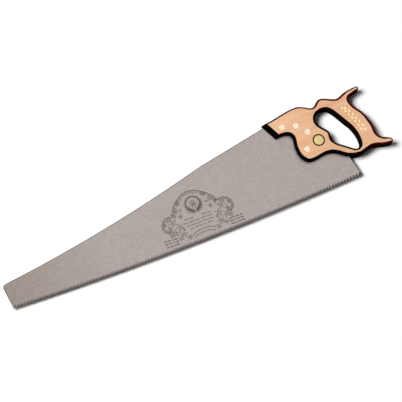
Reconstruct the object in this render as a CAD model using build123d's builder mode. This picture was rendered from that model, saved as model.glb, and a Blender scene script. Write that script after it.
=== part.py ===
from build123d import *
import math
import os

os.makedirs("parts", exist_ok=True)

# A 26 inch rip-cut hand saw lying on its side, in millimetres.
#
# Datum coordinates: x runs from the toe to the handle along the straight line between the
# first and last tooth tips, y runs from the teeth to the back of the blade, and z = 0 is the
# middle of the blade's thickness. The saw's own frame has the same axes, with its origin
# under the middle of the whole saw, on the surface that the handle rests on.

# Blade
toothed_length = 660.4
tooth_count = 114
tooth_rake = 5.0
tooth_angle = 60.0
breast = 8.4
blade_thickness = 0.95
toe_corner_radius = 7.0
toe_foot = (0.3, 0.0)
toe_head = (-2.0, 45.7)
skew_middle = (220.5, 77.4)
skew_end = (403.5, 116.5)
heel_foot = (662.5, 0.8)
heel_head = (656.2, 42.0)
# The blade's rear edge inside the handle, from the heel up to the back.
hidden_edge = [heel_head, (636.5, 60.0), (624.5, 73.0), (617.0, 105.0), (600.0, 143.0), (588.0, 149.3)]

# Handle
handle_thickness = 22.0
edge_radius = 3.5
bevel_width = 7.8
bevel_landing = 2.2
kerf = 1.05
kerf_clearance = 0.35
kerf_front = 520.0
kerf_top = 170.0
front_foot = (548.0, 112.5)
front_head = (533.5, 143.5)
top_edge = [
    (542.5, 144.0), (566.0, 147.3), (586.2, 150.2), (599.4, 152.1), (612.8, 148.6),
    (622.3, 143.0), (628.3, 140.8), (633.2, 142.3), (638.2, 146.6), (646.4, 150.7),
    (657.0, 147.7), (667.0, 143.3), (675.0, 140.7), (683.0, 142.9), (693.0, 146.2), (705.0, 147.9),
]
upper_horn = [(715.2, 148.5), (719.0, 144.7), (715.2, 140.9)]
grip_back = [
    (706.5, 139.2), (698.0, 136.0), (694.2, 129.5), (696.0, 122.0), (701.5, 112.5),
    (708.5, 101.0), (713.5, 85.0), (715.2, 72.0), (715.5, 58.5), (719.2, 50.8),
    (727.0, 45.7),
]
lower_horn = [(735.0, 41.0), (736.7, 36.4), (731.9, 32.9)]
underside = [
    (719.5, 34.6), (707.0, 38.2), (698.5, 39.4), (689.5, 37.6), (679.0, 34.4),
    (670.0, 34.0), (659.5, 36.2), (648.0, 41.8), (638.0, 49.6), (628.5, 54.6),
]
cheek_lobe = [
    (619.0, 56.0), (605.0, 54.4), (592.0, 53.0), (583.5, 54.8), (577.5, 61.0), (573.5, 70.0),
    (572.4, 81.0), (573.6, 92.0), (575.4, 100.0), (575.2, 105.0), (571.8, 110.4), (565.0, 113.4),
    (557.0, 113.9),
]
finger_opening = [
    (644.0, 130.7), (634.0, 128.6), (627.0, 122.6), (624.6, 115.5), (627.0, 108.0), (633.5, 98.6),
    (638.4, 91.5), (638.9, 84.5), (637.9, 75.5), (643.5, 66.5), (654.0, 57.8), (665.0, 48.8),
    (672.5, 44.8), (679.0, 48.2), (682.3, 57.5), (681.8, 70.0), (677.0, 86.5), (670.5, 99.0),
    (661.0, 117.0), (653.0, 127.4),
]

# Fasteners: centres, then a (head, neck, shank, nut, boss) set of sizes for each kind
screw_centres = [(564.5, 127.0), (588.5, 121.0), (603.0, 103.5), (589.5, 75.0)]
medallion_centre = (615.0, 82.5)
small_screw = {"head": 11.0, "neck": 6.0, "shank": 5.0, "nut": 11.0, "boss": 8.0}
medallion = {"head": 21.8, "neck": 7.0, "shank": 6.0, "nut": 14.0, "boss": 9.5}
head_height = 2.4
neck_height = 4.0
boss_height = 5.0
nut_slot_width = 1.3
nut_slot_depth = 1.2
flush_gap = 0.1
bore_clearance = 0.1
medallion_disc = 17.6
medallion_groove_depth = 1.4

# Carved ear of wheat on the grip: grains left and right by turns of a curved stem. The two rows
# draw together at the tip, where a grain stands at ear_tip_width of its full offset.
wheat_stem = (695.8, 69.0)
wheat_middle = (688.9, 96.9)
wheat_tip = (676.2, 123.5)
grain_count = 14
grain_length = 7.0
grain_radius = 1.25
grain_axis_lift = 0.35
grain_offset = 2.8
grain_splay = 20.0
ear_tip_width = 0.5
ear_widening = 0.12

# Middle of the saw's overall box, in datum coordinates
saw_middle = (367.6, 71.85)

# Values worked out from the ones above
half_handle = handle_thickness / 2
tooth_pitch = toothed_length / tooth_count
back_slope = tooth_angle - tooth_rake
tooth_depth = tooth_pitch / (math.tan(math.radians(tooth_rake)) + math.tan(math.radians(back_slope)))
datum = Plane(origin=(-saw_middle[0], -saw_middle[1], half_handle))


def finish(builder, name):
    """Name a finished piece and write its file."""
    builder.part.label = name
    export_step(builder.part, f"parts/{name}.step")


def tip_height(x):
    """Height of the breasted tooth line, lowest half way along."""
    along = (x - toothed_length / 2) / (toothed_length / 2)
    return breast * (along**2 - 1)


def tooth_line():
    """Tooth tips and gullets from the toe to the heel. The teeth point to the toe."""
    points = []
    lean = tooth_depth * math.tan(math.radians(tooth_rake))
    for tooth in range(tooth_count):
        tip = tooth * tooth_pitch + lean
        gullet = (tooth + 1) * tooth_pitch
        points.append((tip, tip_height(tip)))
        points.append((gullet, tip_height(gullet) + tooth_depth))
    return points


def bolt_bores(centres, sizes):
    """Stepped bores for bolts: head and nut recesses, square neck, nut boss and shank."""
    seats = [
        (half_handle, head_height, sizes["head"]),
        (-half_handle + head_height, head_height, sizes["nut"]),
        (-half_handle + head_height + boss_height, boss_height, sizes["boss"]),
        (half_handle, handle_thickness, sizes["shank"]),
    ]
    for top, depth, diameter in seats:
        with BuildSketch(datum.offset(top)) as seat:
            with Locations(*centres):
                Circle(diameter / 2 + bore_clearance)
        extrude(seat.sketch, amount=-depth, mode=Mode.SUBTRACT)
    with BuildSketch(datum.offset(half_handle - head_height)) as square:
        with Locations(*centres):
            Rectangle(sizes["neck"] + bore_clearance, sizes["neck"] + bore_clearance)
    extrude(square.sketch, amount=-neck_height, mode=Mode.SUBTRACT)


def bolt_body(centre, sizes):
    """A bolt's square neck and round shank, hanging from its head's underside."""
    with BuildSketch(datum.offset(half_handle - head_height)) as neck:
        with Locations(centre):
            Rectangle(sizes["neck"], sizes["neck"])
    extrude(neck.sketch, amount=-neck_height)
    with BuildSketch(datum.offset(half_handle - head_height)) as shank:
        with Locations(centre):
            Circle(sizes["shank"] / 2)
    extrude(shank.sketch, amount=-(handle_thickness - head_height - nut_slot_depth))


def nut_body(centre, sizes):
    """A split nut: a slotted disc with a boss that reaches into the handle, bored through."""
    with BuildSketch(datum.offset(-half_handle + flush_gap)) as disc:
        with Locations(centre):
            Circle(sizes["nut"] / 2)
    extrude(disc.sketch, amount=head_height - flush_gap)
    with BuildSketch(datum.offset(-half_handle + head_height)) as boss:
        with Locations(centre):
            Circle(sizes["boss"] / 2)
    extrude(boss.sketch, amount=boss_height)
    with BuildSketch(datum.offset(-half_handle)) as bore:
        with Locations(centre):
            Circle(sizes["shank"] / 2 + bore_clearance / 2)
    extrude(bore.sketch, amount=head_height + boss_height, mode=Mode.SUBTRACT)
    with BuildSketch(datum.offset(-half_handle + flush_gap)) as slot:
        with Locations(centre):
            Rectangle(sizes["nut"] + 1, nut_slot_width, rotation=35)
    extrude(slot.sketch, amount=nut_slot_depth, mode=Mode.SUBTRACT)


def wheat_grain():
    """The hollow of one carved grain: a spindle that lies along X."""
    half_length = grain_length / 2
    with BuildPart(mode=Mode.PRIVATE) as grain:
        with BuildSketch() as profile:
            with BuildLine():
                ThreePointArc((-half_length, 0), (0, grain_radius), (half_length, 0))
                Line((half_length, 0), (-half_length, 0))
            make_face()
        revolve(profile.sketch, axis=Axis.X)
    return grain.part


def wheat_places():
    """Where the grains lie on both faces, from the tip of the ear down to its stem."""
    stem = Edge.make_three_point_arc(wheat_stem, wheat_middle, wheat_tip)
    places = []
    for grain in range(grain_count):
        side = 1 if grain % 2 == 0 else -1
        along = 1 - (grain + 0.5) / grain_count
        heading = (stem % along).get_angle(Vector(1, 0))
        spread = grain_offset * min(1.0, ear_tip_width + ear_widening * grain)
        offset = Vector(side * spread, 0).rotate(Axis.Z, heading + 90)
        spot = (stem @ along) + offset
        for face in (half_handle + grain_axis_lift, -half_handle - grain_axis_lift):
            place = Location((spot.X, spot.Y, face), (0, 0, heading + side * grain_splay))
            places.append(datum.location * place)
    return places


# Blade: a thin plate with a breasted row of teeth and a skewed back.
with BuildPart() as blade:
    with BuildSketch(datum) as plate:
        with BuildLine():
            Polyline(toe_foot, *tooth_line()[1:], heel_foot, *hidden_edge)
            Line(hidden_edge[-1], skew_end)
            ThreePointArc(skew_end, skew_middle, toe_head)
            Line(toe_head, toe_foot)
        make_face()
        fillet(plate.vertices().sort_by(Axis.X)[0], toe_corner_radius)
        with Locations(*screw_centres):
            Circle(small_screw["shank"] / 2 + 2 * bore_clearance, mode=Mode.SUBTRACT)
        with Locations(medallion_centre):
            Circle(medallion["shank"] / 2 + 2 * bore_clearance, mode=Mode.SUBTRACT)
    extrude(amount=blade_thickness / 2, both=True)
finish(blade, "blade")


# Handle: a thick board with two horns, a closed finger opening and rounded edges, slit for the
# blade and bored for five bolts.
with BuildPart() as handle:
    with BuildSketch(datum):
        with BuildLine():
            Line(front_foot, front_head)
            Spline(front_head, *top_edge, upper_horn[0], tangents=[(1, 0.06), (1, 0)])
            upper = ThreePointArc(*upper_horn)
            lower = ThreePointArc(*lower_horn)
            Spline(upper @ 1, *grip_back, lower @ 0, tangents=[upper % 1, lower % 0])
            Spline(lower @ 1, *underside, *cheek_lobe, front_foot, tangents=[lower % 1, (-1, -0.2)])
        make_face()
        with BuildLine():
            Spline(*finger_opening, periodic=True)
        make_face(mode=Mode.SUBTRACT)
    extrude(amount=half_handle, both=True)
    curved_edges = handle.faces().filter_by(Axis.Z).edges().filter_by(GeomType.LINE, reverse=True)
    fillet(curved_edges, edge_radius)

    # Flat bevels that run down to the blade at the front end
    front = Edge.make_line(datum.from_local_coords(front_foot), datum.from_local_coords(front_head))
    inward = (front % 0).cross(Vector(0, 0, 1))
    with BuildSketch(Plane(origin=front @ 0.5, x_dir=inward, z_dir=front % 0)):
        for side in (-1, 1):
            landing = (0, side * bevel_landing)
            shoulder = (bevel_width, side * half_handle)
            with BuildLine():
                Polyline(
                    landing, shoulder, (bevel_width, 2 * shoulder[1]),
                    (-bevel_width, 2 * shoulder[1]), (-bevel_width, landing[1]), close=True,
                )
            make_face()
    extrude(amount=front.length, both=True, mode=Mode.SUBTRACT)

    # Saw kerf that takes the blade, open at the front, the top and the underside
    kerf_end = [(x + kerf_clearance, y + kerf_clearance) for x, y in hidden_edge[:-1]]
    kerf_foot = (heel_foot[0] + kerf_clearance, heel_foot[1])
    kerf_head = (kerf_end[-1][0], kerf_top)
    with BuildSketch(datum):
        with BuildLine():
            Polyline(
                kerf_foot, *kerf_end, kerf_head, (kerf_front, kerf_top),
                (kerf_front, heel_foot[1]), close=True,
            )
        make_face()
    extrude(amount=kerf / 2, both=True, mode=Mode.SUBTRACT)

    bolt_bores(screw_centres, small_screw)
    bolt_bores([medallion_centre], medallion)

    with Locations(*wheat_places()):
        add(wheat_grain(), mode=Mode.SUBTRACT)
finish(handle, "handle")


# Four small saw screws, heads on the show face, each with its split nut on the other face.
for number, centre in enumerate(screw_centres, start=1):
    with BuildPart() as saw_screw:
        bolt_body(centre, small_screw)
        with BuildSketch(datum.offset(half_handle - head_height)):
            with Locations(centre):
                Circle(small_screw["head"] / 2)
        extrude(amount=head_height - flush_gap)
    finish(saw_screw, f"saw_screw_{number}")

    with BuildPart() as split_nut:
        nut_body(centre, small_screw)
    finish(split_nut, f"split_nut_{number}")


# The medallion screw: a wide head whose disc stands inside a groove, and its own split nut.
with BuildPart() as medallion_screw:
    bolt_body(medallion_centre, medallion)
    with BuildSketch(datum.offset(half_handle - head_height)):
        with Locations(medallion_centre):
            Circle(medallion["head"] / 2)
    extrude(amount=head_height - flush_gap - medallion_groove_depth)
    with BuildSketch(datum.offset(half_handle - head_height)):
        with Locations(medallion_centre):
            Circle(medallion_disc / 2)
    extrude(amount=head_height - flush_gap)
finish(medallion_screw, "medallion_screw")

with BuildPart() as medallion_nut:
    nut_body(medallion_centre, medallion)
finish(medallion_nut, "medallion_nut")
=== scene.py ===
import bisect
import math

import bpy
from mathutils import Matrix, Vector
from mathutils.geometry import delaunay_2d_cdt


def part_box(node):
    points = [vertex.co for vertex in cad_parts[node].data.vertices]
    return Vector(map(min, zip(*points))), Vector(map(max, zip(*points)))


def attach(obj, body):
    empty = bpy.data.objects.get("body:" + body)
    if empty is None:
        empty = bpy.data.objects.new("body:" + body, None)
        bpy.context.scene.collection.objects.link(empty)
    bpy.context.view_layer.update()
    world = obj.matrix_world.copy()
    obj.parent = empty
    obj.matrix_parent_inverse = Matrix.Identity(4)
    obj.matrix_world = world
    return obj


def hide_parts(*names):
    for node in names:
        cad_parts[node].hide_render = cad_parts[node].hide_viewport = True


# A 26 inch hand saw lying on its side: a beech handle with lacquered edges, a satin steel
# plate with an etched ornament, and brass saw screws. Lengths are in metres.

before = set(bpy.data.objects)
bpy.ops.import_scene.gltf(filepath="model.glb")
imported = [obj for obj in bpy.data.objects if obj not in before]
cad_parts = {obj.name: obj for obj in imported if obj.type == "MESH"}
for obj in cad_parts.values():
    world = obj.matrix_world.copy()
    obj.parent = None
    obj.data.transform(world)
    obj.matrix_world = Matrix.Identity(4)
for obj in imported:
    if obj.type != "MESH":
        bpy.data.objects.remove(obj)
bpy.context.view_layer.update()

mm = 0.001
handle_low, handle_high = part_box("handle")
blade_low, blade_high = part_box("blade")
half_handle = (handle_high.z - handle_low.z) / 2
half_blade = (blade_high.z - blade_low.z) / 2
middle = (blade_high.z + blade_low.z) / 2
half_kerf = 0.525 * mm
tiny = 1e-9


# ---------------- shapes out of the CAD frame

def with_next(items):
    """Each item of a closed list with the one after it."""
    return zip(items, items[1:] + items[:1])


def slice_loops(node, height):
    """Loops where a level plane cuts a CAD node, each a list of (point, stands_upright)."""
    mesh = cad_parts[node].data
    mesh.calc_loop_triangles()
    keys = [tuple(round(value, 7) for value in vertex.co) for vertex in mesh.vertices]
    crossings = {}
    links = {}
    for triangle in mesh.loop_triangles:
        corners = [keys[index] for index in triangle.vertices]
        cut = []
        for first, second in with_next(corners):
            if (first[2] > height) == (second[2] > height):
                continue
            low, high = sorted((first, second))
            share = (height - low[2]) / (high[2] - low[2])
            upright = math.dist(low[:2], high[:2]) < 1e-6
            crossings[low, high] = (Vector(low).lerp(Vector(high), share).to_2d(), upright)
            cut.append((low, high))
        if len(cut) == 2:
            for edge, other in with_next(cut):
                links.setdefault(edge, []).append(other)
    loops = []
    waiting = dict.fromkeys(links)
    while waiting:
        edge = next(iter(waiting))
        loop = []
        while edge is not None:
            del waiting[edge]
            loop.append(crossings[edge])
            edge = next((other for other in links[edge] if other in waiting), None)
        loops.append(loop)
    return loops


def signed_area(points):
    """Area inside a closed list of points, positive when they run anticlockwise."""
    return sum(a.x * b.y - b.x * a.y for a, b in with_next(points)) / 2


def facing(corners, upward):
    """A face's corners, put in the order that makes it face up, or down."""
    return corners if (signed_area(corners) > 0) == upward else corners[::-1]


def bearing(degrees):
    """The unit vector at an angle."""
    turn = math.radians(degrees)
    return Vector((math.cos(turn), math.sin(turn)))


def leftward(direction):
    return Vector((-direction.y, direction.x))


def sorted_outlines(node, height, upright_only=True):
    """A node's closed outlines at a height, anticlockwise, largest first."""
    outlines = []
    for loop in slice_loops(node, height):
        points = [point for point, upright in loop if upright or not upright_only]
        if signed_area(points) < 0:
            points.reverse()
        outlines.append(points)
    return sorted(outlines, key=lambda points: -abs(signed_area(points)))


# ---------------- smooth curves

class Curve:
    """A smooth curve through points, measured along its length."""

    step = 0.25 * mm
    reach = 0.6 * mm

    def __init__(self, points, closed):
        count = len(points)
        self.closed = closed
        self.points = []
        for index in range(count if closed else count - 1):
            around = range(index - 1, index + 3)
            self.stretch(*(points[i % count if closed else min(max(i, 0), count - 1)] for i in around))
        self.points.append(points[0] if closed else points[-1])
        self.lengths = [0.0]
        for before, after in zip(self.points, self.points[1:]):
            self.lengths.append(self.lengths[-1] + (after - before).length)
        self.length = self.lengths[-1]

    def stretch(self, before, start, end, after):
        """Adds a Catmull-Rom stretch in fine steps, its tangents suited to uneven spacing."""
        run = (end - start).length
        first = (start - before).length
        last = (after - end).length
        tangent_in = tangent_out = (end - start) / run
        if first > tiny:
            tangent_in = (tangent_in * first + (start - before) / first * run) / (first + run)
        if last > tiny:
            tangent_out = (tangent_out * last + (after - end) / last * run) / (last + run)
        count = max(1, round(run / self.step))
        for index in range(count):
            t = index / count
            self.points.append(
                start * (2 * t**3 - 3 * t**2 + 1) + end * (3 * t**2 - 2 * t**3)
                + tangent_in * run * (t**3 - 2 * t**2 + t) + tangent_out * run * (t**3 - t**2)
            )

    def at(self, along):
        """The point at a distance along the curve."""
        if self.closed:
            along %= self.length
        along = min(max(along, 0.0), self.length)
        low = min(bisect.bisect_right(self.lengths, along), len(self.lengths) - 1) - 1
        share = (along - self.lengths[low]) / (self.lengths[low + 1] - self.lengths[low])
        return self.points[low].lerp(self.points[low + 1], share)

    def left(self, along):
        """The unit normal to the left of the curve."""
        run = self.at(along + self.reach) - self.at(along - self.reach)
        return leftward(run).normalized()

    def nearest(self, point):
        """The distance along the curve of its place nearest to a point."""
        index = min(range(len(self.points)), key=lambda i: (self.points[i] - point).length_squared)
        return self.lengths[index]


def is_inside(point, borders):
    """Whether a level ray to the right of a point crosses an odd number of borders."""
    count = 0
    for start, end in borders:
        if (start.y > point.y) != (end.y > point.y):
            share = (point.y - start.y) / (end.y - start.y)
            count += start.x + share * (end.x - start.x) > point.x
    return count % 2 == 1


def filled(loops):
    """Triangles that fill the area between closed loops, leaving the inner loops open."""
    points = [point for loop in loops for point in loop]
    borders = [pair for loop in loops for pair in with_next(loop)]
    links = []
    for loop in loops:
        links.extend(with_next(list(range(len(links), len(links) + len(loop)))))
    places, edges, triangles, _, sources, _ = delaunay_2d_cdt(points, links, [], 0, 1e-8)
    walls = {frozenset(edge) for edge, source in zip(edges, sources) if source}
    sides = [{frozenset(pair) for pair in with_next(triangle)} - walls for triangle in triangles]
    neighbours = {}
    for number, open_sides in enumerate(sides):
        for side in open_sides:
            neighbours.setdefault(side, set()).add(number)
    kept = []
    waiting = set(range(len(triangles)))
    while waiting:
        region = [waiting.pop()]
        for number in region:
            for side in sides[number]:
                beyond = waiting & neighbours[side]
                waiting -= beyond
                region.extend(beyond)
        parts = [[places[index] for index in triangles[number]] for number in region]
        if is_inside(sum(parts[0], Vector((0, 0))) / 3, borders):
            kept.extend(parts)
    return kept


# ---------------- meshes

def add_object(name, data):
    thing = bpy.data.objects.new(name, data)
    bpy.context.scene.collection.objects.link(thing)
    return thing


class Patchwork:
    """Faces gathered from patches, whose matching corners are joined when the piece is made."""

    def __init__(self):
        self.vertices = []
        self.faces = []
        self.materials = []
        self.smooth = []
        self.known = {}

    def corner(self, point):
        key = tuple(round(value * 1e7) for value in point)
        if key not in self.known:
            self.known[key] = len(self.vertices)
            self.vertices.append(tuple(point))
        return self.known[key]

    def face(self, points, material=0, smooth=True):
        corners = list(dict.fromkeys(self.corner(point) for point in points))
        if len(corners) > 2:
            self.faces.append(corners)
            self.materials.append(material)
            self.smooth.append(smooth)

    def strip(self, lower, upper, closed=True, material=0, smooth=True):
        """Faces between two rows of points; they face right of the rows' run, seen from above."""
        count = len(lower)
        for index in range(count if closed else count - 1):
            after = (index + 1) % count
            self.face([lower[index], lower[after], upper[after], upper[index]], material, smooth)

    def sheet(self, rows, upward=True, material=0):
        """Faces between neighbouring rows of points, all of them facing up, or down."""
        for row, after in zip(rows, rows[1:]):
            for lane in range(len(row) - 1):
                corners = [row[lane], row[lane + 1], after[lane + 1], after[lane]]
                self.face(facing(corners, upward), material)

    def level(self, loops, height, upward=True, material=0):
        """A level face bounded by closed loops of 2-D points, the inner ones being holes."""
        for points in filled(loops):
            self.face(facing(raised(points, height), upward), material, smooth=False)

    def piece(self, name, materials, sharp_degrees=35):
        mesh = bpy.data.meshes.new(name)
        mesh.from_pydata(self.vertices, [], self.faces)
        for material in materials:
            mesh.materials.append(material)
        mesh.polygons.foreach_set("material_index", self.materials)
        mesh.polygons.foreach_set("use_smooth", self.smooth)
        mesh.update()
        mesh.set_sharp_from_angle(angle=math.radians(sharp_degrees))
        self.sharpen_borders(mesh)
        piece = add_object(name, mesh)
        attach(piece, "root")
        return piece

    def sharpen_borders(self, mesh):
        """Edges between materials, and between flat and smooth faces, stay crisp."""
        seen = {}
        for polygon in mesh.polygons:
            for key in polygon.edge_keys:
                seen.setdefault(key, set()).add((polygon.material_index, polygon.use_smooth))
        for edge in mesh.edges:
            if len(seen.get(edge.key, ())) > 1:
                edge.use_edge_sharp = True


def circle(centre, radius, count=48):
    return [centre + bearing(360 * index / count) * radius for index in range(count)]


def raised(points, height):
    return [Vector((*point, height)) for point in points]


def leaf_rows(stations, lanes, place):
    """Rows of what a place gives at its share along a leaf and its share across, from -1 to 1."""
    across = [2 * lane / (lanes - 1) - 1 for lane in range(lanes)]
    return [[place(station / (stations - 1), share) for share in across] for station in range(stations)]


# ---------------- material nodes

class Shader:
    """A material whose nodes are added by name."""

    def __init__(self, name):
        self.material = bpy.data.materials.new(name)
        self.material.use_nodes = True
        self.tree = self.material.node_tree
        self.surface = self.tree.nodes["Principled BSDF"]
        self.position = self.add("ShaderNodeTexCoord").outputs["Object"]

    def add(self, kind, inputs=None, **settings):
        node = self.tree.nodes.new(kind)
        for name, value in settings.items():
            setattr(node, name, value)
        for name, value in (inputs or {}).items():
            self.feed(node.inputs[name], value)
        return node

    def feed(self, socket, value):
        if isinstance(value, bpy.types.NodeSocket):
            self.tree.links.new(value, socket)
        else:
            socket.default_value = value

    def placed(self, scale, turn=(0, 0, 0)):
        """Object coordinates, scaled and turned."""
        inputs = {"Vector": self.position, "Scale": scale, "Rotation": turn}
        return self.add("ShaderNodeMapping", inputs).outputs["Vector"]

    def noise(self, vector, scale, detail=3.0, roughness=0.5, distortion=0.0):
        inputs = dict(Vector=vector, Scale=scale, Detail=detail, Roughness=roughness, Distortion=distortion)
        return self.add("ShaderNodeTexNoise", inputs).outputs["Fac"]

    def math(self, operation, first, second=0.0):
        return self.add("ShaderNodeMath", {0: first, 1: second}, operation=operation).outputs[0]

    def weigh(self, first, share, second):
        """The first value by its share, and the second by the rest."""
        rest = self.math("MULTIPLY", second, 1 - share)
        return self.math("ADD", self.math("MULTIPLY", first, share), rest)

    def spread(self, value, low, high, new_low=0.0, new_high=1.0):
        """A value taken from one range to another, and kept inside it."""
        inputs = {"Value": value, "From Min": low, "From Max": high, "To Min": new_low, "To Max": new_high}
        return self.add("ShaderNodeMapRange", inputs).outputs["Result"]

    def mix(self, share, first, second, blend="MIX"):
        node = self.add("ShaderNodeMix", data_type="RGBA", blend_type=blend)
        self.feed(node.inputs["Factor"], share)
        for name, value in (("A", first), ("B", second)):
            socket = next(s for s in node.inputs if s.name == name and s.type == "RGBA")
            self.feed(socket, value)
        return next(s for s in node.outputs if s.type == "RGBA")

    def bump(self, height, distance):
        bump = self.add("ShaderNodeBump", {"Height": height, "Distance": distance, "Strength": 1.0})
        self.feed(self.surface.inputs["Normal"], bump.outputs["Normal"])

    def set(self, **values):
        for name, value in values.items():
            self.feed(self.surface.inputs[name.replace("_", " ")], value)


def colour(*levels):
    """A colour given as red, green and blue from 0 to 255, as it looks on a screen."""
    shares = [level / 255 for level in levels]
    return (*(c / 12.92 if c <= 0.04045 else ((c + 0.055) / 1.055) ** 2.4 for c in shares), 1.0)


def beech_material(name, light, dark, fleck, roughness):
    """Beech: soft growth bands, short darker flecks along the grain and fine open pores."""
    wood = Shader(name)
    light, dark, fleck = colour(*light), colour(*dark), colour(*fleck)
    lean = (0, 0, math.radians(-24))
    along = wood.placed(scale=(1.0, 9.0, 9.0), turn=lean)
    bands = wood.noise(along, 14.0, detail=4.0, roughness=0.55, distortion=0.8)
    clouds = wood.noise(wood.position, 22.0, detail=2.0)
    tone = wood.weigh(bands, 0.65, clouds)
    base = wood.mix(wood.spread(tone, 0.36, 0.66), light, dark)
    short = wood.placed(scale=(1.0, 6.0, 6.0), turn=lean)
    flecks = wood.spread(wood.noise(short, 420.0, detail=2.0), 0.56, 0.72, 0.0, 0.55)
    base = wood.mix(flecks, base, fleck)
    pores = wood.placed(scale=(1.0, 14.0, 14.0), turn=lean)
    fine = wood.noise(pores, 900.0, detail=2.0, roughness=0.6)
    base = wood.mix(wood.spread(fine, 0.58, 0.80, 0.0, 0.35), base, fleck)
    wood.set(Base_Color=base, Roughness=wood.spread(fine, 0.3, 0.7, roughness - 0.05, roughness + 0.06))
    wood.set(Specular_IOR_Level=0.35)
    wood.bump(wood.weigh(fine, 0.6, bands), 0.06 * mm)
    return wood.material


# Painted light: where the lacquer's deep red starts and fades in towards the rear, and the heights above the
# middle over which it comes in near the faces.
lit_red_start = 150 * mm
lit_red_fade = 45 * mm
lit_red_heights = 6.5 * mm, 10 * mm


def lacquer_material(name, lit_red_share):
    """The edges' lacquer: a dark red stain, nearly black, with its deep red painted by a share on the grip's
    rear roundings near the faces, as painted light where light strikes them.
    """
    coat = Shader(name)
    drift = coat.noise(coat.placed(scale=(1.0, 1.0, 0.35)), 60.0, detail=3.0)
    tone = coat.spread(drift, 0.35, 0.7)
    black = coat.mix(tone, colour(8, 5, 5), colour(5, 4, 4))
    red = coat.mix(tone, colour(84, 9, 18), colour(50, 6, 12))
    place = coat.add("ShaderNodeSeparateXYZ", {"Vector": coat.position}).outputs
    rearward = coat.math("ADD", place["X"], place["Y"])
    start = handle_low.x + handle_low.y + lit_red_start
    rear = coat.spread(rearward, start, start + lit_red_fade, 0.0, lit_red_share)
    off_middle = coat.math("ABSOLUTE", coat.math("SUBTRACT", place["Z"], middle))
    # Painted light: deep red on the rear roundings near the faces, where light strikes; near black elsewhere.
    lit_red = coat.math("MULTIPLY", rear, coat.spread(off_middle, *lit_red_heights))
    fine = coat.noise(coat.position, 420.0, detail=2.0)
    coat.set(Base_Color=coat.mix(lit_red, black, red), Roughness=coat.spread(fine, 0.3, 0.7, 0.22, 0.32))
    coat.set(Specular_IOR_Level=0.0, Coat_Weight=0.012, Coat_Roughness=0.12)
    coat.bump(coat.weigh(drift, 0.7, fine), 0.05 * mm)
    return coat.material


def steel_material(name, light, dark, warm, roughness):
    """Satin spring steel: fine lengthwise polishing lines, faint mottling, warmer near the toe."""
    steel = Shader(name)
    lines = steel.noise(steel.placed(scale=(1.0, 60.0, 60.0)), 55.0, detail=4.0, roughness=0.65)
    fine = steel.noise(steel.placed(scale=(1.0, 40.0, 40.0)), 260.0, detail=3.0, roughness=0.6)
    mottle = steel.noise(steel.position, 210.0, detail=5.0, roughness=0.7)
    tone = steel.weigh(lines, 0.35, mottle)
    base = steel.mix(steel.spread(tone, 0.36, 0.64), colour(*light), colour(*dark))
    x = steel.add("ShaderNodeSeparateXYZ", {"Vector": steel.position}).outputs["X"]
    toeward = steel.spread(x, blade_low.x, blade_low.x + 200 * mm, 1.0, 0.0)
    base = steel.mix(toeward, base, steel.mix(0.5, base, colour(*warm), blend="MULTIPLY"))
    steel.set(Base_Color=base, Metallic=0.75)
    steel.set(Roughness=steel.spread(fine, 0.3, 0.7, roughness - 0.05, roughness + 0.07))
    steel.bump(steel.weigh(lines, 0.5, fine), 0.01 * mm)
    return steel.material


def brass_material(name, bright, dull, roughness):
    """Turned brass: rings about each piece's own axis, with a faint tarnish."""
    brass = Shader(name)
    rings = brass.add("ShaderNodeTexWave", {
        "Vector": brass.position, "Scale": 900.0, "Distortion": 0.6, "Detail": 2.0,
    }, wave_type="RINGS", rings_direction="Z").outputs["Fac"]
    tarnish = brass.noise(brass.position, 260.0, detail=3.0)
    base = brass.mix(brass.spread(tarnish, 0.42, 0.75, 0.0, 0.8), colour(*bright), colour(*dull))
    brass.set(Base_Color=base, Metallic=0.75)
    brass.set(Roughness=brass.spread(tarnish, 0.3, 0.7, roughness - 0.05, roughness + 0.08))
    brass.bump(rings, 0.012 * mm)
    return brass.material


# ---------------- handle

FACE, OUTSIDE, CARVING, RAW, INSIDE = range(5)

bevel_width = 7.8 * mm
bevel_landing = 2.2 * mm
mitre_reach = 34 * mm
rim_spacing = 1.15 * mm
rim_gap = 0.3 * mm
plan_height = 1.5 * mm
rounding_steps = 12
tallest_rounding = 5.8 * mm

# Widths of the rounding, in mm, at places given in mm from the handle's lowest corner
outer_widths = [
    (11, 111, 3.0), (52, 117, 3.2), (79, 116, 3.6), (95, 108, 3.8), (113, 118, 4.0), (133, 110, 4.6),
    (150, 110, 4.4), (171, 115, 3.2), (185, 112, 2.4), (173, 106, 2.6), (161, 97, 4.6), (168, 80, 5.6),
    (180, 52, 5.7), (182, 26, 5.4), (190, 15, 4.8), (201, 8, 3.3), (203, 3, 2.4), (186, 2, 2.8),
    (165, 6, 3.4), (145, 2, 3.8), (114, 9, 3.9), (71, 21, 3.9), (39, 48, 3.9), (42, 72, 3.9), (23, 81, 3.9),
]
opening_widths = [
    (149, 27, 3.2), (143, 54, 3.4), (128, 84, 3.6), (110, 98, 3.8), (93, 89, 4.8), (93, 75, 5.2),
    (105, 52, 5.0), (110, 34, 4.8), (131, 16, 4.6), (142, 12, 4.0),
]


def rounding_width(point, places):
    """The rounding's width at a point, drawn most from the places nearest to it."""
    total = 0.0
    weights = 0.0
    for x, y, width in places:
        spot = Vector((handle_low.x + x * mm, handle_low.y + y * mm))
        weight = 1 / ((point - spot).length + 2 * mm) ** 4
        total += weight * width * mm
        weights += weight
    return total / weights


def rounded_in(width, height):
    """How far a round edge of this width has drawn in at a height above the middle."""
    climb = max(0.0, height - (half_handle - width))
    return width - math.sqrt(max(0.0, width**2 - climb**2))


def drawn_in(curve, along, places, height):
    """A point of the rounding above a place on a curve."""
    spot = curve.at(along)
    return spot + curve.left(along) * rounded_in(rounding_width(spot, places), height)


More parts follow.
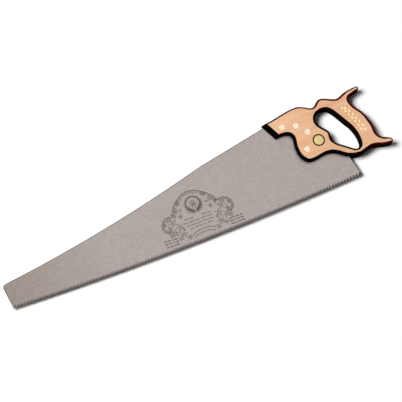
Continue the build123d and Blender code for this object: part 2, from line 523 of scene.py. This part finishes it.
class HandleShape:
    """The handle's rim and opening, and the rings of points that its rounded edges run through."""

    def __init__(self):
        self.heights = self.ring_heights()
        outlines = sorted_outlines("handle", middle + plan_height)
        self.opening = Curve(outlines[1][::-1], closed=True)
        self.find_rim(outlines[0])
        self.find_kerf_end()
        self.places = self.rim_places()
        self.outer_rings = [self.outer_ring(height) for height in self.heights]
        self.opening_rings = [self.opening_ring(height) for height in self.heights]

    def ring_heights(self):
        """Heights above the middle: the kerf's edge, the bevel's landing, and the rounding's steps."""
        turns = [math.pi / 2 * step / rounding_steps for step in range(rounding_steps + 1)]
        return [
            half_kerf, bevel_landing, (bevel_landing + half_handle - tallest_rounding) / 2,
            *(half_handle - tallest_rounding * (1 - math.sin(turn)) for turn in turns),
        ]

    def find_rim(self, outline):
        """The curved rim, anticlockwise from the foot of the straight front to its head."""
        start = min(range(len(outline)), key=lambda index: outline[index].x)
        ordered = outline[start:] + outline[:start]
        self.rim = Curve(ordered[1:] + ordered[:1], closed=False)
        self.head = ordered[0]
        self.foot = ordered[1]
        self.front_inward = leftward((self.foot - self.head).normalized())

    def find_kerf_end(self):
        """The end of the kerf inside the wood, from the underside up to the top edge."""
        chain = sorted_outlines("handle", middle)[0]
        inside = [min((point - other).length for other in self.rim.points) > rim_gap for point in chain]
        before = next(index for index, within in enumerate(inside) if within and not inside[index - 1]) - 1
        chain, inside = chain[before:] + chain[:before], inside[before:] + inside[:before]
        chain = chain[:inside.index(False, 1) + 1]
        if chain[0].y > chain[-1].y:
            chain.reverse()
        self.kerf_inner = chain[1:-1]
        self.kerf_low = self.rim.nearest(chain[0])
        self.kerf_high = self.rim.nearest(chain[-1])

    def rim_places(self):
        """Distances along the rim of its samples, with one where the kerf opens on each side."""
        ends = [0.0, self.kerf_low, self.kerf_high, self.rim.length]
        places = []
        for start, end in zip(ends, ends[1:]):
            if start == self.kerf_low:
                self.closed_from = len(places)
            if start == self.kerf_high:
                self.closed_to = len(places)
            count = round((end - start) / rim_spacing)
            places.extend(start + (end - start) * index / count for index in range(count))
        return places + [self.rim.length]

    def mitre(self, height, from_head):
        """How far along the rim the front bevel has cut at this height."""
        wanted = bevel_width * max(0.0, (height - bevel_landing) / (half_handle - bevel_landing))
        low, high = 0.0, mitre_reach
        for _ in range(30):
            half = (low + high) / 2
            along = self.rim.length - half if from_head else half
            spot = drawn_in(self.rim, along, outer_widths, height)
            reached = (spot - self.head).dot(self.front_inward)
            if reached < wanted:
                low = half
            else:
                high = half
        return low

    def outer_ring(self, height):
        """A ring round the whole outline: the curved rim, then the straight front."""
        at_foot = self.mitre(height, from_head=False)
        at_head = self.mitre(height, from_head=True)
        ring = []
        for along in self.places:
            left_over = self.rim.length - along
            if along < mitre_reach:
                along = at_foot + along * (mitre_reach - at_foot) / mitre_reach
            elif left_over < mitre_reach:
                along = self.rim.length - at_head - left_over * (mitre_reach - at_head) / mitre_reach
            ring.append(drawn_in(self.rim, along, outer_widths, height))
        head, foot = ring[-1], ring[0]
        count = round((self.head - self.foot).length / rim_spacing)
        ring.extend(head.lerp(foot, index / count) for index in range(1, count))
        return ring

    def opening_ring(self, height):
        count = round(self.opening.length / rim_spacing)
        steps = [self.opening.length * index / count for index in range(count)]
        return [drawn_in(self.opening, along, opening_widths, height) for along in steps]

    def kerf_outline(self):
        """The kerf's plan: along the rim where it is open, then back along its end."""
        ring = self.outer_rings[0]
        return ring[self.closed_to:] + ring[:self.closed_from + 1] + self.kerf_inner

    def kerf_wall(self):
        """The kerf's end from the underside to the top edge."""
        ring = self.outer_rings[0]
        return [ring[self.closed_from]] + self.kerf_inner + [ring[self.closed_to]]


neck_height = 4.0 * mm
head_height = 2.4 * mm
boss_height = 5.0 * mm
bore_clearance = 0.1 * mm
neck_bore_share = 0.72
grain_depth = 1.0 * mm
largest_grain = 30 * mm**2
just_below_face = 0.03 * mm


def bolt_sizes(number):
    """A bolt's nodes, middle, head and nut radii and inner sizes. The fifth has the medallion."""
    wide = number == 5
    screw = "medallion_screw" if wide else f"saw_screw_{number}"
    nut = "medallion_nut" if wide else f"split_nut_{number}"
    low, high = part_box(screw)
    nut_low, nut_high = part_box(nut)
    return {
        "screw": screw, "nut": nut,
        "centre": ((low + high) / 2).to_2d(),
        "head": (high.x - low.x) / 2,
        "nut_radius": (nut_high.x - nut_low.x) / 2,
        "neck": (7.0 if wide else 6.0) * mm,
        "shank": (3.0 if wide else 2.5) * mm,
        "boss": (4.75 if wide else 4.0) * mm,
    }


bolts = [bolt_sizes(number) for number in range(1, 6)]


def carve_bores(wood, bolt):
    """The stepped bore above the kerf for the head, and below it for the nut."""
    shank = bolt["shank"] + bore_clearance
    neck = bolt["neck"] * neck_bore_share
    boss = bolt["boss"] + bore_clearance
    head = bolt["head"] + bore_clearance
    nut = bolt["nut_radius"] + bore_clearance
    seat = half_handle - head_height
    upper = [
        (shank, half_kerf), (shank, seat - neck_height), (neck, seat - neck_height),
        (neck, seat), (head, seat), (head, half_handle),
    ]
    lower = [
        (nut, -half_handle), (nut, -seat), (boss, -seat), (boss, -seat + boss_height),
        (shank, -seat + boss_height), (shank, -half_kerf),
    ]
    for profile in (upper, lower):
        rows = [raised(circle(bolt["centre"], radius)[::-1], middle + height) for radius, height in profile]
        for row, above in zip(rows, rows[1:]):
            wood.strip(row, above, material=RAW)


def grain_frames():
    """Middle, heading, length and width of each carved grain on the show face."""
    frames = []
    for outline in sorted_outlines("handle", handle_high.z - just_below_face, upright_only=False):
        if abs(signed_area(outline)) > largest_grain:
            continue
        centre = sum(outline, Vector((0, 0))) / len(outline)
        far = max(outline, key=lambda point: (point - centre).length)
        heading = (far - centre).normalized()
        if heading.y < 0:
            heading = -heading
        ways = heading, leftward(heading)
        sizes = [2 * max(abs((point - centre).dot(way)) for point in outline) for way in ways]
        frames.append((centre, heading, *sizes))
    return frames


def grain_rows(grain):
    """Rows of (point, depth) across a leaf-shaped grain, fuller near its foot, from foot to tip."""
    centre, heading, length, width = grain

    def place(along, across):
        swell = math.sin(math.pi * along**0.85) ** 0.85
        spot = centre + heading * (along - 0.5) * length - leftward(heading) * across * swell * width / 2
        return spot, grain_depth * swell**0.8 * (1 - abs(across) ** 1.5)

    return leaf_rows(13, 9, place)


def grain_outline(rows):
    return [row[0][0] for row in rows] + [row[-1][0] for row in rows][-2:0:-1]


def make_handle(shape):
    wood = Patchwork()
    for rings, solid, lacquer in (
        (shape.outer_rings, slice(shape.closed_from, shape.closed_to + 1), OUTSIDE),
        (shape.opening_rings, None, INSIDE),
    ):
        lows, highs = (
            [raised(ring, middle + sign * height) for ring, height in zip(rings, shape.heights)]
            for sign in (-1, 1)
        )
        for row, above in [*zip(lows[1:], lows), *zip(highs, highs[1:])]:
            wood.strip(row, above, material=lacquer)
        if solid:
            wood.strip(lows[0][solid], highs[0][solid], closed=False, material=lacquer)
        else:
            wood.strip(lows[0], highs[0], material=lacquer)

    wall = shape.kerf_wall()[::-1]
    low_wall, high_wall = raised(wall, middle - half_kerf), raised(wall, middle + half_kerf)
    wood.strip(low_wall, high_wall, closed=False, material=RAW, smooth=False)
    shanks = [circle(bolt["centre"], bolt["shank"] + bore_clearance) for bolt in bolts]
    for bolt in bolts:
        carve_bores(wood, bolt)
    grains = [grain_rows(grain) for grain in grain_frames()]
    borders = [shape.outer_rings[-1], shape.opening_rings[-1], *(grain_outline(rows) for rows in grains)]
    for sign, size in ((1, "head"), (-1, "nut_radius")):
        face = middle + sign * half_handle
        wood.level([shape.kerf_outline(), *shanks], middle + sign * half_kerf, upward=sign < 0, material=RAW)
        recesses = [circle(bolt["centre"], bolt[size] + bore_clearance) for bolt in bolts]
        wood.level(borders + recesses, face, upward=sign > 0, material=FACE)
        for rows in grains:
            hollow = [[Vector((*spot, face - sign * depth)) for spot, depth in row] for row in rows]
            wood.sheet(hollow, upward=sign > 0, material=CARVING)

    materials = [
        beech_material("beech_face", (220, 177, 141), (204, 154, 114), (176, 117, 80), 0.42),
        # The outer edges take the full share of the lacquer's red painted light.
        lacquer_material("edge_lacquer", 1.0),
        beech_material("beech_carved", (246, 234, 184), (236, 220, 164), (214, 188, 128), 0.55),
        beech_material("beech_raw", (206, 162, 120), (188, 142, 100), (142, 95, 62), 0.65),
        # The opening's walls get a shaded copy of the lacquer, painted shade, with almost none of its red
        # painted light.
        lacquer_material("shaded_opening_lacquer", 0.06),
    ]
    piece = wood.piece("handle_wood", materials)
    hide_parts("handle")


# ---------------- blade

# The last of these is near black steel, painted shade in the tooth notches and along the rear edge.
PLATE, FILED_AND_SHADED, PAINTED_SHADE = range(3)

tooth_set = 0.25 * mm
shallowest_tooth = 1.5 * mm
rear_slope = 0.5
# How far the gullets are drawn up; the faces of this bevel take the near black painted shade of the tooth
# notches.
gullet_bevel = 2.5 * mm
ease_width = 1.2 * mm
rear_ease_width = 2.0 * mm
ease_depth = 0.25 * mm


def tooth_tips(outline):
    """Indexes of the outline's tooth tips."""
    found = []
    for index, here in enumerate(outline):
        before, after = outline[index - 1], outline[(index + 1) % len(outline)]
        if min(before.y, after.y) - here.y > shallowest_tooth and here.y < 0:
            found.append(index)
    return found


def face_border(outline, tips, bevel):
    """The outline drawn in for the eased edges, with the gullets drawn up by their filed bevel."""
    count = len(outline)
    border = []
    for index, here in enumerate(outline):
        after = (index + 1) % count
        if index in tips:
            border.append(here)
        elif index - 1 in tips and after in tips:
            border.append(here + Vector((0, bevel)))
        else:
            ahead = (outline[after] - here).normalized()
            behind = (here - outline[index - 1]).normalized()
            inward = Vector((-ahead.y - behind.y, ahead.x + behind.x)).normalized()
            slant = max(0.5, inward.x * -ahead.y + inward.y * ahead.x)
            width = rear_ease_width if max(ahead.y, behind.y) > rear_slope else ease_width
            border.append(here + inward * width / slant)
    return border


def make_blade():
    """The plate with eased edges, and its teeth, whose tips lean to one face and the other by turns."""
    outlines = sorted_outlines("blade", middle)
    outline, bores = outlines[0], outlines[1:]
    tips = tooth_tips(outline)
    lean = [0.0] * len(outline)
    for number, tip in enumerate(tips):
        lean[tip] = tooth_set if number % 2 else -tooth_set
    show_face = face_border(outline, tips, gullet_bevel)
    far_face = face_border(outline, tips, 0.0)
    steel = Patchwork()
    rows = []
    for points, height, tip_height in (
        (far_face, -half_blade, -half_blade), (outline, ease_depth - half_blade, -half_blade),
        (outline, half_blade - ease_depth, half_blade), (show_face, half_blade, half_blade),
    ):
        heights = [tip_height if index in tips else height for index in range(len(outline))]
        rows.append([
            Vector((*point, middle + height + shift)) for point, height, shift in zip(points, heights, lean)
        ])
    for row, above in zip(rows, rows[1:]):
        for index in range(len(outline)):
            after = (index + 1) % len(outline)
            ahead = (outline[after] - outline[index]).normalized()
            # Faces beside the tooth tips and along the rear edge get near black steel: painted shade of the
            # notches and of the rear edge.
            dark = index in tips or after in tips or ahead.y > rear_slope
            corners = [row[index], row[after], above[after], above[index]]
            # Other edge faces get darker grey steel: filed steel, and partly painted shade along the edges.
            steel.face(corners, material=PAINTED_SHADE if dark else FILED_AND_SHADED)
    low, high = rows[0], rows[-1]
    for tip in tips:
        steel.face([high[tip - 1], high[tip], high[tip + 1]], smooth=False)
        steel.face([low[tip + 1], low[tip], low[tip - 1]], smooth=False)
    for border, height, upward in ((show_face, half_blade, True), (far_face, -half_blade, False)):
        body = [point for index, point in enumerate(border) if index not in tips]
        steel.level([body, *bores], middle + height, upward=upward, material=PLATE)
    for bore in bores:
        steel.strip(raised(bore[::-1], middle - half_blade), raised(bore[::-1], middle + half_blade))
    materials = [
        steel_material("satin_steel", (188, 179, 175), (169, 160, 155), (190, 182, 166), 0.42),
        # Darker grey eased edges: filed steel, and partly painted shade along the edges.
        steel_material("filed_and_shaded_steel", (112, 105, 100), (92, 86, 82), (196, 188, 170), 0.45),
        # Near black: painted shade for the tooth notches and the rear edge.
        steel_material("painted_shade_steel", (26, 21, 20), (15, 12, 11), (196, 188, 170), 0.6),
    ]
    piece = steel.piece("blade_plate", materials, sharp_degrees=20)
    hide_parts("blade")


# ---------------- etched ornament

etch_rise = 0.015 * mm
etch_root = 0.04 * mm
ornament_foot = Vector((-2.6 * mm, -71.85 * mm))


class Etching:
    """Thin strokes rooted in the plate's show face and a hair above it, in mm from the ornament's foot."""

    def __init__(self):
        self.patch = Patchwork()
        self.count = 0

    def band(self, pairs):
        """A closed thin solid between two rows of matching points. Crossing bands differ in height."""
        self.count += 1
        high = middle + half_blade + etch_rise * (1 + self.count % 7 / 7)
        low = middle + half_blade - etch_root
        rings = []
        for pair in pairs:
            left, right = (ornament_foot + Vector(point) * mm for point in pair)
            rings.append(raised([left, right], high) + raised([right, left], low))
        for ring, after in zip(rings, rings[1:]):
            self.patch.strip(ring, after, smooth=False)
        for end in (rings[0][::-1], rings[-1]):
            self.patch.face(end, smooth=False)

    def stroke(self, points, width, end_width=None):
        """A stroke along a smooth line, thinning evenly to its end width."""
        end_width = width if end_width is None else end_width
        line = Curve([Vector(point) * mm for point in points], closed=False)
        count = max(2, round(line.length / (0.9 * mm)))
        pairs = []
        for index in range(count + 1):
            along = line.length * index / count
            half = (width + (end_width - width) * index / count) / 2
            spot = line.at(along) / mm
            side = line.left(along) * half
            pairs.append((spot + side, spot - side))
        self.band(pairs)

    def leaf(self, root, heading, length, width):
        """A pointed leaf that grows from a root in a direction given in degrees."""
        out = bearing(heading)
        side = leftward(out)
        pairs = []
        for station in range(7):
            along = station / 6
            half = math.sin(math.pi * along**0.8) * width / 2
            spot = Vector(root) + out * along * length
            pairs.append((spot + side * half, spot - side * half))
        self.band(pairs)

    def ring(self, centre, radius, width, start=0.0, end=360.0):
        """Part of a ring, from one angle to another."""
        count = max(6, round(abs(end - start) / 12))
        pairs = []
        for index in range(count + 1):
            out = bearing(start + (end - start) * index / count)
            pairs.append([Vector(centre) + out * (radius + step) for step in (-width / 2, width / 2)])
        self.band(pairs)

    def curl(self, centre, radius, start, turns, width):
        """A spiral that winds in to its centre, with a bud at its end."""
        points = []
        steps = round(abs(turns) * 10)
        for step in range(steps + 1):
            share = step / steps
            out = bearing(start + 360 * turns * share)
            points.append(Vector(centre) + out * radius * (1 - 0.78 * share))
        self.stroke(points, width, width * 0.6)
        self.ring(centre, radius * 0.13, radius * 0.26)

    def rosette(self, centre, radius, petals):
        """A flower of pointed petals about a small ring."""
        self.ring(centre, radius * 0.2, radius * 0.22)
        for petal in range(petals):
            turn = 360 * petal / petals + 11
            root = Vector(centre) + bearing(turn) * radius * 0.36
            self.leaf(root, turn, radius * 0.68, radius * 2.1 / petals)

    def vine(self, points, spacing, radius, stem, sign=1):
        """A stem with curls on its inner side, the right of its run, and small leaves outside."""
        line = Curve([Vector(point) * mm for point in points], closed=False)
        self.stroke(points, stem)
        count = round(line.length / (spacing * mm))
        for index in range(count):
            along = line.length * (index + 0.5) / count
            spot = line.at(along) / mm
            outward = line.left(along) * sign
            size = radius * (1.0 if index % 2 else 0.75)
            start = math.degrees(math.atan2(outward.y, outward.x))
            self.curl(spot - outward * size, size, start, 1.25 * sign, stem * 0.85)
            self.leaf(spot, start - 62 * sign, radius * 1.2, radius * 0.6)

    def dashes(self, start, end, lengths, gap, width):
        """A ruled line broken into dashes."""
        start, end = Vector(start), Vector(end)
        run = (end - start).normalized()
        side = leftward(run) * width / 2
        at = 0.0
        index = 0
        while at < (end - start).length - 0.5:
            reach = min(at + lengths[index % len(lengths)], (end - start).length)
            near, far = start + run * at, start + run * reach
            self.band([(near + side, near - side), (far + side, far - side)])
            at = reach + gap
            index += 1


def etch_wreath(etching):
    """A wreath of two leafy branches, fuller below, round an eight-petalled flower."""
    centre = Vector((1.0, 59.5))
    reach = 13.5
    etching.ring(centre, reach, 1.3, 0, 180)
    etching.ring(centre, reach, 1.6, 180, 360)
    last_leaf = 11
    for sign in (-1, 1):
        for leaf in range(last_leaf + 1):
            turn = -90 + sign * (6 + 166 * leaf / last_leaf)
            size = 6.2 - 2.6 * leaf / last_leaf
            for lean in (42, 130):
                etching.leaf(centre + bearing(turn) * reach, turn + sign * lean, size, size * 0.36)
    etching.ring(centre, reach - 3.6, 1.3, 195, 345)
    etching.rosette(centre, 8.0, 8)


def etch_side(etching, sign):
    """Half of the vines: the outer scroll, its leaves, and the curls that fill the space."""
    scroll = [
        (44, 50), (51, 52.5), (59, 49.5), (65, 42.5), (66, 34),
        (62, 27), (55.5, 26.5), (52.5, 32), (56.5, 36),
    ]
    etching.vine([(sign * x, y) for x, y in scroll], 7.0, 2.9, 1.2, sign)
    for x, y, radius, start, turns in (
        (46.5, 39.5, 5.4, 60, 1.3), (47.5, 21.5, 5.2, 90, -1.3), (36.5, 29.5, 5.0, 200, 1.3),
        (35.0, 15.5, 4.6, 20, -1.3), (56.5, 18.5, 3.4, 40, 1.2), (27.0, 6.5, 3.6, 250, 1.2),
        (43.5, 9.5, 3.6, 120, 1.2), (33.5, 58.5, 4.0, 150, 1.2), (23.5, 69.5, 3.6, 120, -1.2),
        (39.0, 50.0, 3.4, 30, 1.2), (60.5, 42.0, 3.0, 200, 1.2),
    ):
        place = Vector((sign * x, y))
        start = start if sign > 0 else 180 - start
        etching.curl(place, radius, start, turns * sign, 1.3)
        for leaf in range(5):
            turn = start + (10 + 72 * leaf) * sign
            root = place + bearing(turn) * radius * 0.95
            etching.leaf(root, turn + 30 * sign, radius * 0.62, radius * 0.34)
    for x, y, radius in (
        (28.5, 46.0, 4.6), (24.5, 56.0, 3.2), (52.5, 45.5, 3.0), (57.0, 25.0, 2.6), (31.5, 22.5, 2.8),
    ):
        etching.rosette((sign * x, y), radius, 6)


def make_etching():
    etching = Etching()
    arch = [
        (-44, 50), (-40, 57), (-31, 68), (-18, 78.2), (0, 83.4), (18, 78.2), (31, 68), (40, 57), (44, 50),
    ]
    etching.vine(arch, 7.2, 3.3, 1.1)
    etch_wreath(etching)
    for sign in (-1, 1):
        etch_side(etching, sign)
    for start, end in (
        ((-24, 37.6), (-8, 37.0)), ((9, 36.8), (24, 36.2)), ((-28, 31.4), (27, 30.6)),
        ((-26, 25.6), (26, 24.8)), ((-21, 19.8), (21, 19.2)),
    ):
        etching.dashes(start, end, (4.2, 2.2, 5.6, 3.2), 1.9, 1.6)
    for sign in (-1, 1):
        for low, tilt in ((12.2, 1.6), (7.2, 1.2), (2.0, 0.8)):
            end = (sign * 74, low + tilt * (sign < 0))
            etching.dashes((sign * 49, low), end, (6.4, 3.0, 4.8), 1.9, 2.1)
    etching.stroke([(-22, 7.0), (-13, 11.2), (0, 12.6), (13, 11.2), (22, 7.0)], 1.2)
    etching.stroke([(-20, 2.0), (-12, 5.4), (0, 6.8), (12, 5.4), (20, 2.0)], 1.2)
    ink = Shader("etched_steel")
    cloud = ink.noise(ink.position, 700.0, detail=3.0)
    ink.set(Base_Color=ink.mix(cloud, colour(112, 104, 98), colour(86, 79, 74)), Metallic=0.35)
    ink.set(Roughness=ink.spread(cloud, 0.3, 0.7, 0.55, 0.7))
    ink.bump(cloud, 0.01 * mm)
    piece = etching.patch.piece("blade_etching", [ink.material])


# ---------------- brass

GOLD, GROOVE, FIELD = range(3)

axis = Vector((0, 0))
head_seat = middle + half_handle - head_height
head_ease = 0.15 * mm
shank_ease = 0.3 * mm
chamfer = 0.12 * mm
medallion_rim = 8.65 * mm


def turned(patch, centre, profile, material=0, count=64):
    """A turned surface from a profile of (radius, height), outward and up."""
    rows = [raised(circle(centre, radius, count), height) for radius, height in profile]
    for row, above in zip(rows, rows[1:]):
        patch.strip(row, above, material=material)


def bolt_body(bolt):
    """A bolt's round shank and square neck, about its own axis, up to the seat of its head."""
    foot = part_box(bolt["screw"])[0].z
    neck_foot = head_seat - neck_height
    shank, neck = bolt["shank"], bolt["neck"] / 2
    patch = Patchwork()
    end = [(0, foot), (shank - shank_ease, foot), (shank, foot + shank_ease)]
    turned(patch, axis, [*end, (shank, neck_foot), (0, neck_foot)])
    square = [Vector(corner) * neck for corner in ((-1, -1), (1, -1), (1, 1), (-1, 1))]
    patch.strip(raised(square, neck_foot), raised(square, head_seat), smooth=False)
    patch.level([square], neck_foot, upward=False)
    patch.level([square], head_seat, upward=True)
    return patch


def make_screw(bolt):
    """A domed head with a fine chamfer, on its body."""
    patch = bolt_body(bolt)
    head = bolt["head"]
    top = middle + half_handle - 0.22 * mm
    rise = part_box(bolt["screw"])[1].z + 0.06 * mm - top
    profile = [(0, head_seat), (head - head_ease, head_seat), (head, head_seat + head_ease)]
    profile += [(head, top - chamfer), (head - chamfer, top)]
    profile += [(head * share, top + rise * (1 - share**2)) for share in (0.95, 0.85, 0.7, 0.5, 0.3, 0.12, 0)]
    turned(patch, axis, profile)
    return patch


def make_medallion(bolt):
    """A wide head on its body: a dark groove, a rolled rim, a ring of beads and a rosette."""
    patch = bolt_body(bolt)
    head, high = bolt["head"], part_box(bolt["screw"])[1].z
    floor = head_seat + 0.9 * mm
    field = high - 0.6 * mm
    crown = high - 0.45 * mm
    ease = 0.1 * mm
    side = [(0, head_seat), (head - head_ease, head_seat), (head, head_seat + head_ease)]
    side += [(head, floor - ease)]
    turned(patch, axis, side, material=GOLD)
    groove = [side[-1], (head - 2 * ease, floor)]
    groove += [(medallion_rim + ease, floor), (medallion_rim, floor + ease)]
    # The groove's near black brass is tarnish and painted shade of the recess.
    turned(patch, axis, groove, material=GROOVE)
    rolled = [groove[-1], (medallion_rim, crown)]
    for step in range(1, 8):
        turn = math.pi * step / 8
        rolled.append((medallion_rim - 0.7 * mm * (1 - math.cos(turn)), crown + 0.5 * mm * math.sin(turn)))
    turned(patch, axis, rolled, material=GOLD)
    turned(patch, axis, [rolled[-1], (medallion_rim - 1.6 * mm, field), (0, field)], material=FIELD)
    add_petals(patch, field)
    return patch


def add_petals(patch, height):
    """Eight raised petals round a domed boss, inside a ring of beads."""
    for petal in range(8):
        out = bearing(45 * petal)

        def place(along, across):
            swell = math.sin(math.pi * min(1.0, along * 0.92 + 0.08) ** 1.3)
            spot = out * (1.3 + 3.9 * along) * mm + leftward(out) * across * swell * 1.15 * mm
            lift = 0.42 * mm * swell**0.6 * (1 - abs(across) ** 2) - 0.02 * mm
            return Vector((spot.x, spot.y, height + lift))

        patch.sheet(leaf_rows(9, 7, place))
    beads = 28
    domes = [(bearing(360 * (bead + 0.5) / beads) * 6.35 * mm, 0.5 * mm, 0.32 * mm) for bead in range(beads)]
    for centre, radius, rise in [(axis, 1.35 * mm, 0.5 * mm), *domes]:
        turns = [step * math.pi / 12 for step in range(7)]
        profile = [(radius * math.cos(turn), height + rise * math.sin(turn)) for turn in turns]
        turned(patch, centre, profile, count=20)


def modify(piece, kind, **settings):
    modifier = piece.modifiers.new(kind.lower(), kind)
    for name, value in settings.items():
        setattr(modifier, name, value)


def tooled_nut(bolt, material):
    """The frame's slotted nut with its sharp edges eased."""
    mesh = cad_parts[bolt["nut"]].data.copy()
    low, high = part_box(bolt["nut"])
    centre = (low + high) / 2
    centre.z = middle
    mesh.transform(Matrix.Translation(-centre))
    mesh.materials.clear()
    mesh.materials.append(material)
    name = bolt["nut"] + "_brass"
    mesh.name = name
    piece = add_object(name, mesh)
    modify(piece, "WELD", merge_threshold=0.001 * mm)
    modify(piece, "DECIMATE", decimate_type="DISSOLVE", angle_limit=math.radians(1))
    modify(piece, "BEVEL", width=chamfer, segments=2, limit_method="ANGLE", angle_limit=math.radians(40))
    bpy.context.view_layer.update()
    graph = bpy.context.evaluated_depsgraph_get()
    finished = bpy.data.meshes.new_from_object(piece.evaluated_get(graph))
    piece.modifiers.clear()
    piece.data = finished
    piece.location = centre
    finished.polygons.foreach_set("use_smooth", [True] * len(finished.polygons))
    finished.set_sharp_from_angle(angle=math.radians(35))
    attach(piece, "root")
    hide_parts(bolt["nut"])


def make_brass():
    pale = brass_material("turned_brass", (255, 243, 214), (250, 222, 184), 0.38)
    gold = brass_material("medallion_brass", (255, 243, 188), (255, 229, 158), 0.34)
    sunk = brass_material("sunk_brass", (255, 236, 166), (255, 221, 146), 0.42)
    # Near black: tarnish in the medallion's groove, and painted shade of the recess.
    dark = brass_material("tarnish_and_shade_brass", (30, 18, 12), (14, 9, 7), 0.55)
    for bolt in bolts:
        if bolt["screw"] == "medallion_screw":
            piece = make_medallion(bolt).piece("medallion_screw_brass", [gold, dark, sunk])
        else:
            piece = make_screw(bolt).piece(bolt["screw"] + "_brass", [pale])
        piece.location = (bolt["centre"].x, bolt["centre"].y, 0)
        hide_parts(bolt["screw"])
    for bolt in bolts:
        tooled_nut(bolt, pale)


# ---------------- stage

def make_floor():
    """A level plane that the handle's far face rests on."""
    reach = 12.0
    corners = [(reach * x, reach * y, handle_low.z) for x, y in ((-1, -1), (1, -1), (1, 1), (-1, 1))]
    mesh = bpy.data.meshes.new("floor")
    mesh.from_pydata(corners, [], [(0, 1, 2, 3)])
    floor = add_object("floor", mesh)
    card = Shader("pale_card")
    tooth = card.noise(card.position, 900.0, detail=2.0)
    card.set(Base_Color=card.mix(tooth, colour(250, 250, 250), colour(246, 246, 246)), Roughness=0.9)
    card.set(Specular_IOR_Level=0.1)
    mesh.materials.append(card.material)


def make_camera():
    """A long lens above the teeth's side near the toe, turned about its own axis."""
    distance = 20.0
    view_width = 0.6920
    target = Vector((0.0137, -0.0127, middle))
    elevation = math.radians(70.40)
    azimuth = 221.97
    roll = math.radians(25.27)
    back = Vector((*(bearing(azimuth) * math.cos(elevation)), math.sin(elevation)))
    data = bpy.data.cameras.new("camera")
    data.sensor_width = 36
    data.lens = 36 * distance / view_width
    data.clip_start = 0.1
    data.clip_end = 100
    camera = add_object("camera", data)
    level_right = Vector((*bearing(azimuth + 90), 0))
    level_up = back.cross(level_right)
    right = level_right * math.cos(roll) + level_up * math.sin(roll)
    up = back.cross(right)
    turn = Matrix((right, up, back)).transposed()
    camera.matrix_world = Matrix.Translation(target + back * distance) @ turn.to_4x4()
    bpy.context.scene.camera = camera


def make_light(name, towards, distance, size, power, diffuse, reflected):
    """A square soft light that shines on the saw from a direction, by diffuse or mirrored light."""
    data = bpy.data.lights.new(name, "AREA")
    data.size = size
    data.energy = power
    light = add_object(name, data)
    direction = Vector(towards).normalized()
    light.location = direction * distance
    light.rotation_euler = direction.to_track_quat("Z", "Y").to_euler()
    light.visible_diffuse = diffuse
    light.visible_glossy = reflected


def make_world():
    world = bpy.data.worlds.new("studio")
    world.use_nodes = True
    shade = world.node_tree.nodes["Background"]
    shade.inputs["Color"].default_value = (1.0, 0.93, 0.90, 1)
    shade.inputs["Strength"].default_value = 0.10
    bpy.context.scene.world = world
    bpy.context.scene.view_settings.view_transform = "Standard"


make_camera()
make_world()
make_floor()
make_light("key", (-0.95, 0.50, 1.8), 3.0, 1.3, 134, diffuse=True, reflected=False)
make_light("overhead", (0.249, 0.224, 0.942), 3.0, 3.2, 33, diffuse=False, reflected=True)
make_handle(HandleShape())
make_blade()
make_etching()
make_brass()
